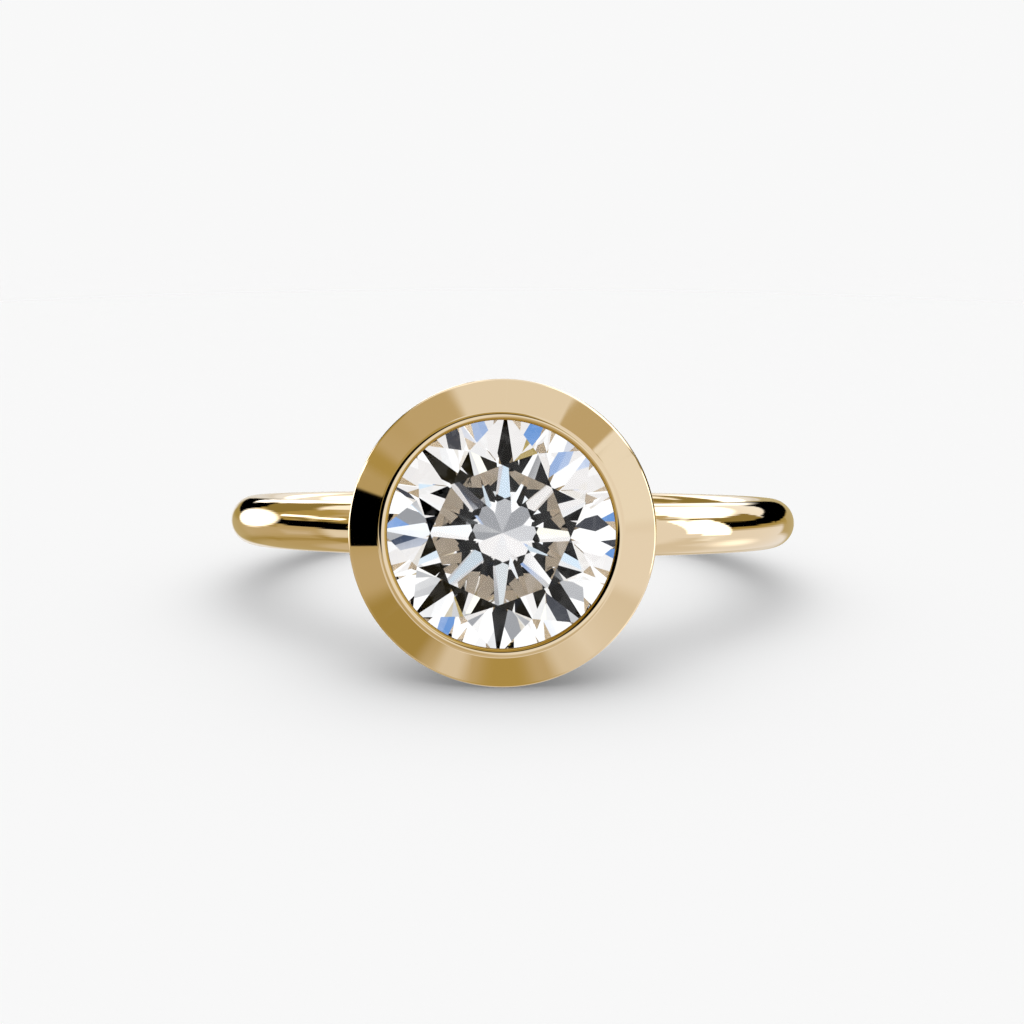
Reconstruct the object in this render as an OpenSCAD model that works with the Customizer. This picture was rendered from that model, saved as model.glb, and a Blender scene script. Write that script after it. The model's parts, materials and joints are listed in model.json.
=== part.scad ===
// Bezel set ring: a plain gold band with one round brilliant-cut stone in a wide bevelled bezel.
// The origin is the centre of the finger hole. The ring lies on its side, as it would on a table:
// it rests on the lowest point of the bezel's rim and on the back of the band.
// The head faces -Y, with the stone's table outwards.

/* [Finger hole] */
// Diameter of the finger hole
finger_d = 16.5; // [15.3:0.1:19.8]

/* [Band] */
// Width of the band along the finger, which is also the diameter of its round wire
band_w = 1.68; // [1.6:0.02:2.2]
// Thickness of the band outwards from the finger hole, a little under its width
band_t = 1.6; // [1.4:0.02:1.6]

/* [Bezel] */
// Diameter of the outer rim's corner, before it is rounded
bezel_d = 9.53; // [9.15:0.01:10.4]
// Diameter of the crest, where the wide bevel meets the narrow inner one
crest_d = 7.18; // [7.1:0.02:7.4]
// Diameter of the opening around the stone
lip_d = 6.88; // [6.7:0.02:6.96]
// Height of the crest above the middle of the stone's girdle
crest_h = 0.58; // [0.5:0.02:0.9]
// Slope of the wide bevel
bevel_angle = 42; // [36:1:48]
// Rounding of the outer rim
rim_round = 0.22; // [0.1:0.02:0.3]
// Rounding of the crest
crest_round = 0.08; // [0.04:0.01:0.1]
// Outer diameter of the bezel where it reaches the finger
base_d = 5.4; // [4.8:0.1:6.4]
// Diameter of the open back behind the stone
back_d = 3.5; // [2.6:0.1:3.6]
// How far the bezel's foot stands back from the finger hole
foot_relief = 0.2; // [0.15:0.05:0.3]

/* [Stone] */
// Diameter of the round stone
stone_d = 7.4; // [7.3:0.02:7.44]
// Table width from corner to corner, as a share of the stone's diameter
table_share = 0.565; // [0.53:0.005:0.62]
// Slope of the crown's main facets
crown_angle = 35; // [32:0.5:36]
// Slope of the pavilion's main facets
pavilion_angle = 41.75; // [40:0.25:42]
// Reach of the star facets from the table's edge towards the girdle
star_share = 0.42; // [0.4:0.01:0.6]
// Reach of the lower half facets from the girdle towards the culet
lower_half_share = 0.81; // [0.7:0.01:0.85]
// Thickness of the girdle where the facets meet
girdle_t = 0.16; // [0.14:0.01:0.3]
// Turn of the stone in its seat, clockwise as seen from the front
stone_turn = 1.5; // [0:0.5:22]
// Distance from the centre of the finger hole to the middle of the girdle
girdle_dist = 12.15; // [12.1:0.05:13.5]
// Clearance between the stone and its seat
seat_gap = 0.03; // [0.02:0.01:0.05]

/* [Hidden] */
$fn = 128;
gold_colour = [0.83, 0.68, 0.43];
stone_colour = [0.88, 0.92, 0.96, 0.6];

// Band
finger_r = finger_d / 2;
wire_r = band_w / 2;
wire_mid_r = finger_r + band_t - wire_r;
finger_cut_l = 4 * base_d;

// Stone, with heights from the middle of the girdle
sectors = 8;
sector_angle = 360 / sectors;
half_sector = sector_angle / 2;
quarter_sector = sector_angle / 4;
stone_r = stone_d / 2;
half_girdle = girdle_t / 2;
table_r = stone_r * table_share;
table_edge_r = table_r * cos(half_sector);
table_z = half_girdle + (stone_r - table_r) * tan(crown_angle);
star_r = table_edge_r + star_share * (stone_r - table_edge_r);
star_z = half_girdle + (stone_r - star_r * cos(half_sector)) * tan(crown_angle);
lower_r = stone_r * (1 - lower_half_share);
lower_z = -half_girdle - (stone_r - lower_r * cos(half_sector)) * tan(pavilion_angle);
culet_z = -half_girdle - stone_r * tan(pavilion_angle);
upper_half_slope = (star_z - half_girdle) / ((stone_r - star_r) * cos(quarter_sector));
lower_half_slope = (-half_girdle - lower_z) / ((stone_r - lower_r) * cos(quarter_sector));

// Bezel, with heights from the middle of the girdle
foot_r = finger_r + foot_relief;
foot_z = foot_r - girdle_dist;
crown_ridge_slope = (star_z - half_girdle) / (stone_r - star_r);
pavilion_ridge_slope = (-half_girdle - lower_z) / (stone_r - lower_r);
groove_r = stone_r + seat_gap;
bearing_w = 0.45;
bearing_r = stone_r - bearing_w;
lip_z = half_girdle + seat_gap + (groove_r - lip_d / 2) * crown_ridge_slope;
bearing_z = -half_girdle - seat_gap - (groove_r - bearing_r) * pavilion_ridge_slope;
rim_z = crest_h - (bezel_d - crest_d) / 2 * tan(bevel_angle);
past_foot = 1.2;
over_table = 1;

lip_pt = [lip_d / 2, lip_z];
crest_pt = [crest_d / 2, crest_h];
rim_pt = [bezel_d / 2, rim_z];
foot_pt = [base_d / 2, foot_z];
groove_top_pt = [groove_r, half_girdle + seat_gap];
groove_low_pt = [groove_r, -half_girdle - seat_gap];
bearing_pt = [bearing_r, bearing_z];
back_pt = [back_d / 2, foot_z];

// Resting tilt, from the rounded rim and the round wire touching one flat surface
rim_arc = arc_centre(crest_pt, rim_pt, foot_pt, rim_round);
rest_span = girdle_dist + rim_arc[1] + wire_mid_r;
rest_tilt = atan2(rim_arc[0], rest_span) + asin((rim_round - wire_r) / norm([rest_span, rim_arc[0]]));

// Girdle outline: steps along each half sector, so that its scallops stay smooth
girdle_steps = 4;
girdle_count = 2 * sectors * girdle_steps;

function unit(v) = v / norm(v);

// Half the angle between the two edges that meet at corner b
function half_angle(a, b, c) = acos(unit(a - b) * unit(c - b)) / 2;

// Centre of the arc that rounds corner b between edges b-a and b-c
function arc_centre(a, b, c, r) = b + unit(unit(a - b) + unit(c - b)) * r / sin(half_angle(a, b, c));

// Point where that arc touches the edge from b to a
function arc_touch(a, b, c, r) = b + unit(a - b) * r / tan(half_angle(a, b, c));

// Point at radius r and height z on the stone, at an angle round its axis
function at(angle, r, z) = [r * cos(angle), r * sin(angle), z];

// The line from p to q carried on past q until it has gone down by a further depth
function carry_down(p, q, depth) = q + (q - p) * depth / (p[1] - q[1]);

// How far the round girdle stands out beyond the chord between two facet corners
function scallop(angle) =
    stone_r * (cos((angle % half_sector) - quarter_sector) - cos(quarter_sector));

// Turns the head's own axis from +Z to -Y
module on_head_axis() {
    rotate([90, 0, 0])
        translate([0, 0, girdle_dist])
            children();
}

// Lays the ring down on its rim and on the back of the band
module laid_down() {
    rotate([-rest_tilt, 0, 0])
        children();
}

module finger_hole(r) {
    cylinder(r = r, h = finger_cut_l, center = true);
}

// Round wire, flattened inside by the finger hole
module band() {
    difference() {
        rotate_extrude()
            translate([wire_mid_r, 0])
                circle(r = wire_r);
        finger_hole(finger_r);
    }
}

// Half section of the bezel's outer form: narrow inner bevel, crest, wide bevel, rim and tapered side
module bezel_section() {
    polygon([
        [0, lip_pt[1]],
        lip_pt,
        arc_touch(lip_pt, crest_pt, rim_pt, crest_round),
        arc_touch(rim_pt, crest_pt, lip_pt, crest_round),
        arc_touch(crest_pt, rim_pt, foot_pt, rim_round),
        arc_touch(foot_pt, rim_pt, crest_pt, rim_round),
        carry_down(rim_pt, foot_pt, past_foot),
        [0, foot_z - past_foot]
    ]);
    translate(arc_centre(lip_pt, crest_pt, rim_pt, crest_round))
        circle(r = crest_round);
    translate(rim_arc)
        circle(r = rim_round);
}

// Half section of the space inside: open back, bearing, groove for the girdle and opening over the crown
module seat_section() {
    polygon([
        [0, foot_z - past_foot],
        carry_down(bearing_pt, back_pt, past_foot),
        bearing_pt,
        groove_low_pt,
        groove_top_pt,
        lip_pt,
        [lip_pt[0], lip_pt[1] + over_table],
        [0, lip_pt[1] + over_table]
    ]);
}

module bezel() {
    difference() {
        on_head_axis()
            rotate_extrude()
                bezel_section();
        finger_hole(foot_r);
    }
}

// Band and bezel are soldered and polished as one piece
module gold_ring() {
    color(gold_colour)
        laid_down()
            difference() {
                union() {
                    band();
                    bezel();
                }
                on_head_axis()
                    rotate_extrude()
                        seat_section();
            }
}

// Round brilliant: table, 8 stars, 8 kites and 16 upper halves over the girdle,
// 16 lower halves and 8 mains under it, meeting at a point
module brilliant() {
    first_star = sectors;
    first_upper = first_star + sectors;
    first_under = first_upper + girdle_count;
    first_lower = first_under + girdle_count;
    culet = first_lower + sectors;

    girdle_angles = [for (i = [0 : girdle_count - 1]) i * 360 / girdle_count];
    points = [
        for (i = [0 : sectors - 1]) at(i * sector_angle, table_r, table_z),
        for (i = [0 : sectors - 1]) at((i + 0.5) * sector_angle, star_r, star_z),
        for (a = girdle_angles) at(a, stone_r, half_girdle - upper_half_slope * scallop(a)),
        for (a = girdle_angles) at(a, stone_r, lower_half_slope * scallop(a) - half_girdle),
        for (i = [0 : sectors - 1]) at((i + 0.5) * sector_angle, lower_r, lower_z),
        [0, 0, culet_z]
    ];

    next = [for (i = [0 : sectors - 1]) (i + 1) % sectors];
    previous = [for (i = [0 : sectors - 1]) (i + sectors - 1) % sectors];
    halves = [0 : 2 * sectors - 1];
    faces = [
        [for (i = [sectors - 1 : -1 : 0]) i],
        for (i = [0 : sectors - 1]) [i, next[i], first_star + i],
        for (i = [0 : sectors - 1]) [
            i, first_star + i, first_upper + 2 * i * girdle_steps, first_star + previous[i]
        ],
        for (h = halves) [
            first_star + floor(h / 2),
            for (s = [girdle_steps : -1 : 0]) first_upper + (h * girdle_steps + s) % girdle_count
        ],
        for (k = [0 : girdle_count - 1]) [
            first_upper + k,
            first_upper + (k + 1) % girdle_count,
            first_under + (k + 1) % girdle_count,
            first_under + k
        ],
        for (h = halves) [
            first_lower + floor(h / 2),
            for (s = [0 : girdle_steps]) first_under + (h * girdle_steps + s) % girdle_count
        ],
        for (i = [0 : sectors - 1]) [
            culet, first_lower + previous[i], first_under + 2 * i * girdle_steps, first_lower + i
        ]
    ];
    polyhedron(points = points, faces = faces);
}

module round_stone() {
    color(stone_colour)
        laid_down()
            on_head_axis()
                rotate([0, 0, -stone_turn])
                    brilliant();
}

gold_ring();
round_stone();
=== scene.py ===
# %% [markdown]
# # Bezel set ring
# A polished gold ring with one round brilliant-cut stone. A wide bevelled bezel, turned and
# polished as one piece with a slim wire band, holds the stone all round its edge. The packed
# part gives the frame, so every piece below is made where the frame says it is, and nothing is
# moved to fit. Lengths are in millimetres until the last step of each piece.

# %% Load the frame
import json
import math

import bmesh
import bpy
from mathutils import Matrix, Vector


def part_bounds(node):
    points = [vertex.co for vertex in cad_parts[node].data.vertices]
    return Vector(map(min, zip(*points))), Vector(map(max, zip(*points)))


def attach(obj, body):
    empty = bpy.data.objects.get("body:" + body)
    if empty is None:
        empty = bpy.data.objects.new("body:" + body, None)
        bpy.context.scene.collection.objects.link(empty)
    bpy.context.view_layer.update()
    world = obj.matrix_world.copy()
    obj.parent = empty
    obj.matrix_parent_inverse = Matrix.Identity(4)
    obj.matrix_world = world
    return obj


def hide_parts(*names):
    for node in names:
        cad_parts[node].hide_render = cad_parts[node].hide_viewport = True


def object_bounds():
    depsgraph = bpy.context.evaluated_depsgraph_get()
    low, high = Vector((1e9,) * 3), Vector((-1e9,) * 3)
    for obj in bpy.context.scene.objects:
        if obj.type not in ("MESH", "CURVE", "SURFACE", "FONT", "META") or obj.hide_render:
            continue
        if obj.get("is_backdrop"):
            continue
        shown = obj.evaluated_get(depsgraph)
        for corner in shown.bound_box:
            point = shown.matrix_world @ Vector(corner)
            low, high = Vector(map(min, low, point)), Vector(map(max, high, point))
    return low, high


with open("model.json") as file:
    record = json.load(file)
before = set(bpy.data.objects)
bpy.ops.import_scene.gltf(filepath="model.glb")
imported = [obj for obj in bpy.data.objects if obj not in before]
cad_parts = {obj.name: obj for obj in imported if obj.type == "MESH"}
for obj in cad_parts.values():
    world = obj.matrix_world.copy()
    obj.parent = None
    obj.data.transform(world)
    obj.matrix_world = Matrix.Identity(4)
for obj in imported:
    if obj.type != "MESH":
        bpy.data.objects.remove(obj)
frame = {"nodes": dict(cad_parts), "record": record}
part_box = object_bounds()
MM = 0.001
print("nodes:", sorted(frame["nodes"]))

# %% [markdown]
# ## Axes of the ring
# A ring that rests on its side leans: the finger hole's axis isn't upright. The record's mount
# gives that axis, and the head faces square to it. In the working frame used for all the shapes,
# Z runs out through the head, Y along the finger and X across the band.

# %% Read the axes and the sizes from the frame
mount = frame["record"]["mounts"][0]
finger_axis = Vector(mount["axis"]).normalized()
across = Vector((1, 0, 0))
head_axis = across.cross(finger_axis)
finger_r = mount["dims"]["r_mm"]
lay_down = Matrix((across, finger_axis, head_axis)).transposed()
floor_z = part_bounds("gold_ring")[0].z


def levels(node):
    """Radius round the head's axis and height along it, in mm, of each ring of a node's corners."""
    found = set()
    for v in frame["nodes"][node].data.vertices:
        p = lay_down.transposed() @ v.co / MM
        found.add((round(math.hypot(p.x, p.y), 3), round(p.z, 3)))
    return found


NEAR = 0.01
stone_levels = levels("round_stone")
stone_r = max(r for r, z in stone_levels)
girdle = [z for r, z in stone_levels if r > stone_r - NEAR]
girdle_dist = (max(girdle) + min(girdle)) / 2
half_girdle = (max(girdle) - min(girdle)) / 2
top_z = max(z for r, z in stone_levels)
table_r, table_z = max(p for p in stone_levels if p[1] > top_z - NEAR)
culet_z = min(z for r, z in stone_levels)
between = sorted((z, r) for r, z in stone_levels if r < stone_r - NEAR)
lower_z, lower_r = between[1]
star_z, star_r = [p for p in between if p[0] < table_z - NEAR][-1]
print("stone radius", stone_r, "girdle at", girdle_dist, "half girdle", round(half_girdle, 3))
print("table", table_r, table_z, "star", star_r, star_z, "lower", lower_r, lower_z, "culet", culet_z)

# %% [markdown]
# ## Camera
# The photograph looks almost straight at the head, from a little above the surface. The distance
# and the angles come from a camera fitted to the band's outline and the bezel's circles.

# %% Set the camera
PHOTO_PX = 1024
camera_distance = 85.0
above_band = 1.94
to_the_right = 1.554
roll = 0.379
px_per_mm = 28.365
ring_centre_px = (512.62, 520.38)
SENSOR = 36.0

rise = math.radians(above_band)
turn = math.radians(to_the_right)
towards_camera = (
    across * math.sin(turn) * math.cos(rise)
    + head_axis * math.cos(turn) * math.cos(rise)
    + finger_axis * math.sin(rise)
)
camera = bpy.data.objects.new("camera", bpy.data.cameras.new("camera"))
bpy.context.scene.collection.objects.link(camera)
bpy.context.scene.camera = camera
view_up = (finger_axis - towards_camera * finger_axis.dot(towards_camera)).normalized()
view_right = view_up.cross(towards_camera)
upright = Matrix((view_right, view_up, towards_camera)).transposed()
camera.matrix_world = (
    Matrix.Translation(towards_camera * camera_distance * MM)
    @ (upright @ Matrix.Rotation(math.radians(roll), 3, "Z")).to_4x4()
)
camera.data.sensor_width = SENSOR
camera.data.lens = px_per_mm * camera_distance * SENSOR / PHOTO_PX
camera.data.shift_x = -(ring_centre_px[0] - PHOTO_PX / 2) / PHOTO_PX
camera.data.shift_y = (ring_centre_px[1] - PHOTO_PX / 2) / PHOTO_PX
camera.data.clip_start = 0.005
print("lens", round(camera.data.lens, 1), "mm")

# %% [markdown]
# ## Helpers for node trees
# Shapes and finishes are both built from nodes. These helpers make a node, set its plain values
# and link its sockets in one call, so that each tree below reads as a list of steps.


# %% Node helpers
def add(tree, kind, inputs=None, **settings):
    """A new node. Settings are its own properties; inputs are values or sockets, by name or number."""
    node = tree.nodes.new(kind)
    for name, value in settings.items():
        setattr(node, name, value)
    for key, value in (inputs or {}).items():
        socket = node.inputs[key]
        if isinstance(value, bpy.types.NodeSocket):
            tree.links.new(value, socket)
        else:
            socket.default_value = value
    return node


def sum_up(tree, operation, *values):
    """A Math node on numbers or sockets; its result."""
    return add(tree, "ShaderNodeMath", dict(enumerate(values)), operation=operation).outputs[0]


def new_group(name, kind, inputs, outputs):
    """A node group with named sockets; returns the tree, its inputs and its output node."""
    tree = bpy.data.node_groups.new(name, kind)
    for socket_name, socket_type, value in inputs:
        socket = tree.interface.new_socket(socket_name, in_out="INPUT", socket_type=socket_type)
        if value is not None:
            socket.default_value = value
    for socket_name, socket_type in outputs:
        tree.interface.new_socket(socket_name, in_out="OUTPUT", socket_type=socket_type)
    start = tree.nodes.new("NodeGroupInput")
    end = tree.nodes.new("NodeGroupOutput")
    return tree, start.outputs, end.inputs


def use_group(tree, group, inputs=None):
    """A group placed in another tree."""
    kind = "ShaderNodeGroup" if group.bl_idname == "ShaderNodeTree" else "GeometryNodeGroup"
    node = tree.nodes.new(kind)
    node.node_tree = group
    for key, value in (inputs or {}).items():
        if isinstance(value, bpy.types.NodeSocket):
            tree.links.new(value, node.inputs[key])
        else:
            node.inputs[key].default_value = value
    return node


# %% [markdown]
# ## Gold
# Alloyed gold has no diffuse colour at all: what shows is the studio, tinted by the metal. A
# mirror polish on a small hand-finished piece still carries very fine wheel marks and a slight
# waviness, which soften the reflections' edges, so both are in the finish, at true scale.


# %% Fine polish marks, as a shared effect
def polish_marks():
    """Waviness and wheel marks for a Bump, and a mask that varies the roughness."""
    tree, given, made = new_group(
        "polish marks",
        "ShaderNodeTree",
        [
            ("Vector", "NodeSocketVector", None),
            ("Waves per mm", "NodeSocketFloat", 0.35),
            ("Marks per mm", "NodeSocketFloat", 30.0),
            ("Stretch", "NodeSocketFloat", 8.0),
            ("Marks", "NodeSocketFloat", 0.1),
        ],
        [("Height", "NodeSocketFloat"), ("Wear", "NodeSocketFloat")],
    )
    in_mm = add(tree, "ShaderNodeVectorMath", {0: given["Vector"], "Scale": 1 / MM}, operation="SCALE")
    waves = add(
        tree,
        "ShaderNodeTexNoise",
        {"Vector": in_mm.outputs[0], "Scale": given["Waves per mm"], "Detail": 1.0, "Roughness": 0.4},
    )
    stretched = add(
        tree,
        "ShaderNodeCombineXYZ",
        {"X": 1.0, "Y": given["Stretch"], "Z": 1.0},
    )
    along = add(
        tree, "ShaderNodeVectorMath", {0: in_mm.outputs[0], 1: stretched.outputs[0]}, operation="DIVIDE"
    )
    marks = add(
        tree,
        "ShaderNodeTexNoise",
        {"Vector": along.outputs[0], "Scale": given["Marks per mm"], "Detail": 3.0, "Roughness": 0.6},
    )
    weighed = sum_up(tree, "MULTIPLY", marks.outputs[0], given["Marks"])
    height = sum_up(tree, "ADD", waves.outputs[0], weighed)
    tree.links.new(height, made["Height"])
    tree.links.new(marks.outputs[0], made["Wear"])
    return tree


POLISH = polish_marks()
print("polish marks made of", len(POLISH.nodes), "nodes")

# %% [markdown]
# The innermost strip of the crest turns towards the stone and lies in its shade; that shade is
# painted into the metal as a deeper gold. A mask finds that strip by its distance from the head's
# axis and its height along it, so the painted shade stays where it is in every view.


# %% A mask for the painted shade next to the stone
def painted_shade_strip_mask():
    """1 on the strip of painted shade next to the stone and 0 elsewhere, from the place on the ring, in mm.
    """
    tree, given, made = new_group(
        "painted shade strip",
        "ShaderNodeTree",
        [
            ("Vector", "NodeSocketVector", None),
            ("Radius", "NodeSocketFloat", 3.5),
            ("Softness", "NodeSocketFloat", 0.025),
            ("From Height", "NodeSocketFloat", 12.0),
        ],
        [("Seen", "NodeSocketFloat")],
    )
    in_mm = add(tree, "ShaderNodeVectorMath", {0: given["Vector"], "Scale": 1 / MM}, operation="SCALE")
    place = in_mm.outputs[0]
    axis = tuple(head_axis)
    off_axis = add(tree, "ShaderNodeVectorMath", {0: place, 1: axis}, operation="CROSS_PRODUCT")
    radius = add(tree, "ShaderNodeVectorMath", {0: off_axis.outputs[0]}, operation="LENGTH")
    height = add(tree, "ShaderNodeVectorMath", {0: place, 1: axis}, operation="DOT_PRODUCT")
    inside = sum_up(tree, "SUBTRACT", given["Radius"], radius.outputs["Value"])
    over = sum_up(tree, "SUBTRACT", height.outputs["Value"], given["From Height"])
    within = sum_up(tree, "DIVIDE", inside, given["Softness"])
    above = sum_up(tree, "DIVIDE", over, given["Softness"])
    seen = add(tree, "ShaderNodeClamp", {"Value": sum_up(tree, "MINIMUM", within, above)})
    tree.links.new(seen.outputs[0], made["Seen"])
    return tree


PAINTED_SHADE_STRIP = painted_shade_strip_mask()
# the painted shade covers this radius from the head's axis and lies above this height over the girdle, in
# mm
strip_r = 3.525
strip_over_girdle = 0.15
print("deeper gold within", strip_r, "mm of the head's axis")

# %% Tones of the gold
YELLOW = (0.865, 0.700, 0.475, 1)
PALER_YELLOW = (0.855, 0.705, 0.490, 1)
# painted shade: the deeper gold on the strip next to the stone
PAINTED_SHADE_GOLD = (0.56, 0.37, 0.09, 1)
SATIN = (0.98, 0.88, 0.74, 1)
DEEPER_SATIN = (0.95, 0.84, 0.70, 1)


# %% The gold material
def gold_finish(name, tone, other_tone, smoothest, roughest, glow=0.0):
    """Gold with fine marks, between two tones and two values of roughness, with painted shade as a deeper
    gold on the strip next to the stone.

    Light that a stone throws on its seat isn't followed, so the seat may have a faint glow, which is
    painted light standing in for it.
    """
    material = bpy.data.materials.new(name)
    material.use_nodes = True
    tree = material.node_tree
    shader = tree.nodes["Principled BSDF"]
    place = add(tree, "ShaderNodeTexCoord")
    marks = use_group(tree, POLISH, {"Vector": place.outputs["Object"]})
    bump = add(
        tree,
        "ShaderNodeBump",
        {"Height": marks.outputs["Height"], "Strength": 0.05, "Distance": 0.004 * MM},
    )
    varied = add(
        tree,
        "ShaderNodeMix",
        {"Factor": marks.outputs["Wear"], "A": tone, "B": other_tone},
        data_type="RGBA",
    )
    # Painted shade: the strip next to the stone takes a deeper gold.
    strip_height = girdle_dist + strip_over_girdle
    strip = use_group(
        tree,
        PAINTED_SHADE_STRIP,
        {"Vector": place.outputs["Object"], "Radius": strip_r, "From Height": strip_height},
    )
    tint = add(
        tree,
        "ShaderNodeMix",
        {"Factor": strip.outputs["Seen"], "A": varied.outputs["Result"], "B": PAINTED_SHADE_GOLD},
        data_type="RGBA",
    )
    rough = add(
        tree,
        "ShaderNodeMapRange",
        {
            "Value": marks.outputs["Wear"],
            "From Min": 0.3,
            "From Max": 0.7,
            "To Min": smoothest,
            "To Max": roughest,
        },
    )
    shader.inputs["Metallic"].default_value = 1.0
    tree.links.new(tint.outputs["Result"], shader.inputs["Base Color"])
    tree.links.new(rough.outputs[0], shader.inputs["Roughness"])
    tree.links.new(bump.outputs[0], shader.inputs["Normal"])
    shader.inputs["Emission Color"].default_value = tone
    shader.inputs["Emission Strength"].default_value = glow
    return material


gold = gold_finish(
    "polished yellow gold", YELLOW, PALER_YELLOW, smoothest=0.03, roughest=0.05
)
# The seat's glow is painted light, for the light that the stone throws on it.
satin_gold = gold_finish(
    "satin gold of the seat", SATIN, DEEPER_SATIN, smoothest=0.6, roughest=0.7, glow=0.13
)
print("gold material has", len(gold.node_tree.nodes), "nodes")


# %% [markdown]
# ## Stone
# A colourless brilliant is clear all through. Its light and dark facets are light that went in
# through the crown, turned round on the pavilion and came out again, so it needs a true index of
# refraction and flat facets, and no painted pattern.


# %% The stone's material
ICY = (0.985, 0.99, 1.0, 1)
COLOURLESS = (1.0, 1.0, 1.0, 1)
DIAMOND_IOR = 2.417
FAINT = (0.12, 0.12, 0.12, 1)


def clear_stone():
    """Clear all through, with a hardly visible cloudiness and a weak gloss of its own."""
    material = bpy.data.materials.new("clear brilliant stone")
    material.use_nodes = True
    tree = material.node_tree
    shader = tree.nodes["Principled BSDF"]
    place = add(tree, "ShaderNodeTexCoord")
    cloud = add(
        tree,
        "ShaderNodeTexNoise",
        {"Vector": place.outputs["Object"], "Scale": 180.0, "Detail": 2.0},
    )
    tint = add(
        tree,
        "ShaderNodeMix",
        {"Factor": cloud.outputs[0], "A": ICY, "B": COLOURLESS},
        data_type="RGBA",
    )
    tree.links.new(tint.outputs["Result"], shader.inputs["Base Color"])
    shader.inputs["Roughness"].default_value = 0.0
    shader.inputs["IOR"].default_value = DIAMOND_IOR
    shader.inputs["Specular Tint"].default_value = FAINT
    shader.inputs["Transmission Weight"].default_value = 1.0
    return material


stone_finish = clear_stone()
print("stone finish:", stone_finish.name)

# %% [markdown]
# ## Turning on a lathe
# Both the band and the bezel are bodies of revolution, so one Geometry Nodes group turns a
# section round the Z axis: a grid has a column for each step of the turn and a row for each
# point of the section, and each grid point takes its place from the section and its column's
# angle. It keeps every point of the section, which an even resampling would lose.


# %% The lathe group
SEAM = 0.0005


def lathe():
    """Turns a section in the XZ plane round Z and closes the seam."""
    tree, given, made = new_group(
        "lathe",
        "GeometryNodeTree",
        [
            ("Section", "NodeSocketGeometry", None),
            ("Steps", "NodeSocketInt", 256),
        ],
        [("Mesh", "NodeSocketGeometry")],
    )
    size = add(tree, "GeometryNodeAttributeDomainSize", {"Geometry": given["Section"]})
    rows = size.outputs["Point Count"]
    columns = sum_up(tree, "ADD", given["Steps"], 1)
    grid = add(tree, "GeometryNodeMeshGrid", {"Vertices X": columns, "Vertices Y": rows})
    index = add(tree, "GeometryNodeInputIndex").outputs[0]
    column = sum_up(tree, "FLOOR", sum_up(tree, "DIVIDE", sum_up(tree, "ADD", index, 0.5), rows))
    row = sum_up(tree, "SUBTRACT", index, sum_up(tree, "MULTIPLY", column, rows))
    place = add(tree, "GeometryNodeInputPosition").outputs[0]
    section_point = add(
        tree,
        "GeometryNodeSampleIndex",
        {"Geometry": given["Section"], "Value": place, "Index": row},
        data_type="FLOAT_VECTOR",
        domain="POINT",
    )
    angle = sum_up(tree, "DIVIDE", sum_up(tree, "MULTIPLY", column, math.tau), given["Steps"])
    turned = add(
        tree,
        "ShaderNodeVectorRotate",
        {"Vector": section_point.outputs[0], "Angle": angle},
        rotation_type="Z_AXIS",
    )
    shaped = add(
        tree,
        "GeometryNodeSetPosition",
        {"Geometry": grid.outputs["Mesh"], "Position": turned.outputs[0]},
    )
    closed = add(tree, "GeometryNodeMergeByDistance", {"Geometry": shaped.outputs[0], "Distance": SEAM})
    outwards = add(tree, "GeometryNodeFlipFaces", {"Mesh": closed.outputs[0]})
    tree.links.new(outwards.outputs[0], made["Mesh"])
    return tree


LATHE = lathe()
print("lathe made of", len(LATHE.nodes), "nodes")

# %% [markdown]
# ## Section of the bezel
# From the front the bezel shows a narrow rounded ridge next to the stone, which burnishing
# leaves there, then the wide bevel and a soft outer rim. Behind the rim the collet tapers to the
# finger, and inside it has the bearing that the stone sits on and an open back. The corners are
# arcs, and each straight run has a point close to both its ends, so that smooth shading can't
# bend the flat bevel.

# %% Sizes of the bezel
lip_d = 6.88
crest_d = 7.18
crest_h = 0.58
bevel_angle = 42.0
bezel_d = 9.53
rim_round = 0.22
crest_round = 0.228
base_d = 5.4
back_d = 3.5
foot_relief = 0.2
seat_gap = 0.03
bearing_w = 0.45
past_foot = 1.2
over_stone = 1.0
edge_margin = 0.012
crest_steps = 40
rim_steps = 14

foot_r = finger_r + foot_relief
groove_r = stone_r + seat_gap
crown_slope = (star_z - girdle_dist - half_girdle) / (stone_r - star_r)
pavilion_slope = (girdle_dist - half_girdle - lower_z) / (stone_r - lower_r)
lip = Vector((lip_d / 2, girdle_dist + half_girdle + seat_gap + (groove_r - lip_d / 2) * crown_slope))
crest = Vector((crest_d / 2, girdle_dist + crest_h))
bevel_slope = math.tan(math.radians(bevel_angle))
rim = Vector((bezel_d / 2, crest.y - (bezel_d - crest_d) / 2 * bevel_slope))
# the ridge's arc is centred under the crest circle
ridge_x = crest.x - crest_round
ridge_foot = Vector((ridge_x, lip.y))
ridge = Vector((ridge_x, crest.y + crest_round * bevel_slope))
foot = Vector((base_d / 2, foot_r))
groove_top = Vector((groove_r, girdle_dist + half_girdle + seat_gap))
groove_low = Vector((groove_r, girdle_dist - half_girdle - seat_gap))
bearing_r = stone_r - bearing_w
bearing = Vector((bearing_r, groove_low.y - (groove_r - bearing_r) * pavilion_slope))
back = Vector((back_d / 2, foot_r))
print("bezel's rim", round(rim.x, 3), "mm from the head's axis, crest", round(crest.x, 3))


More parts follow.
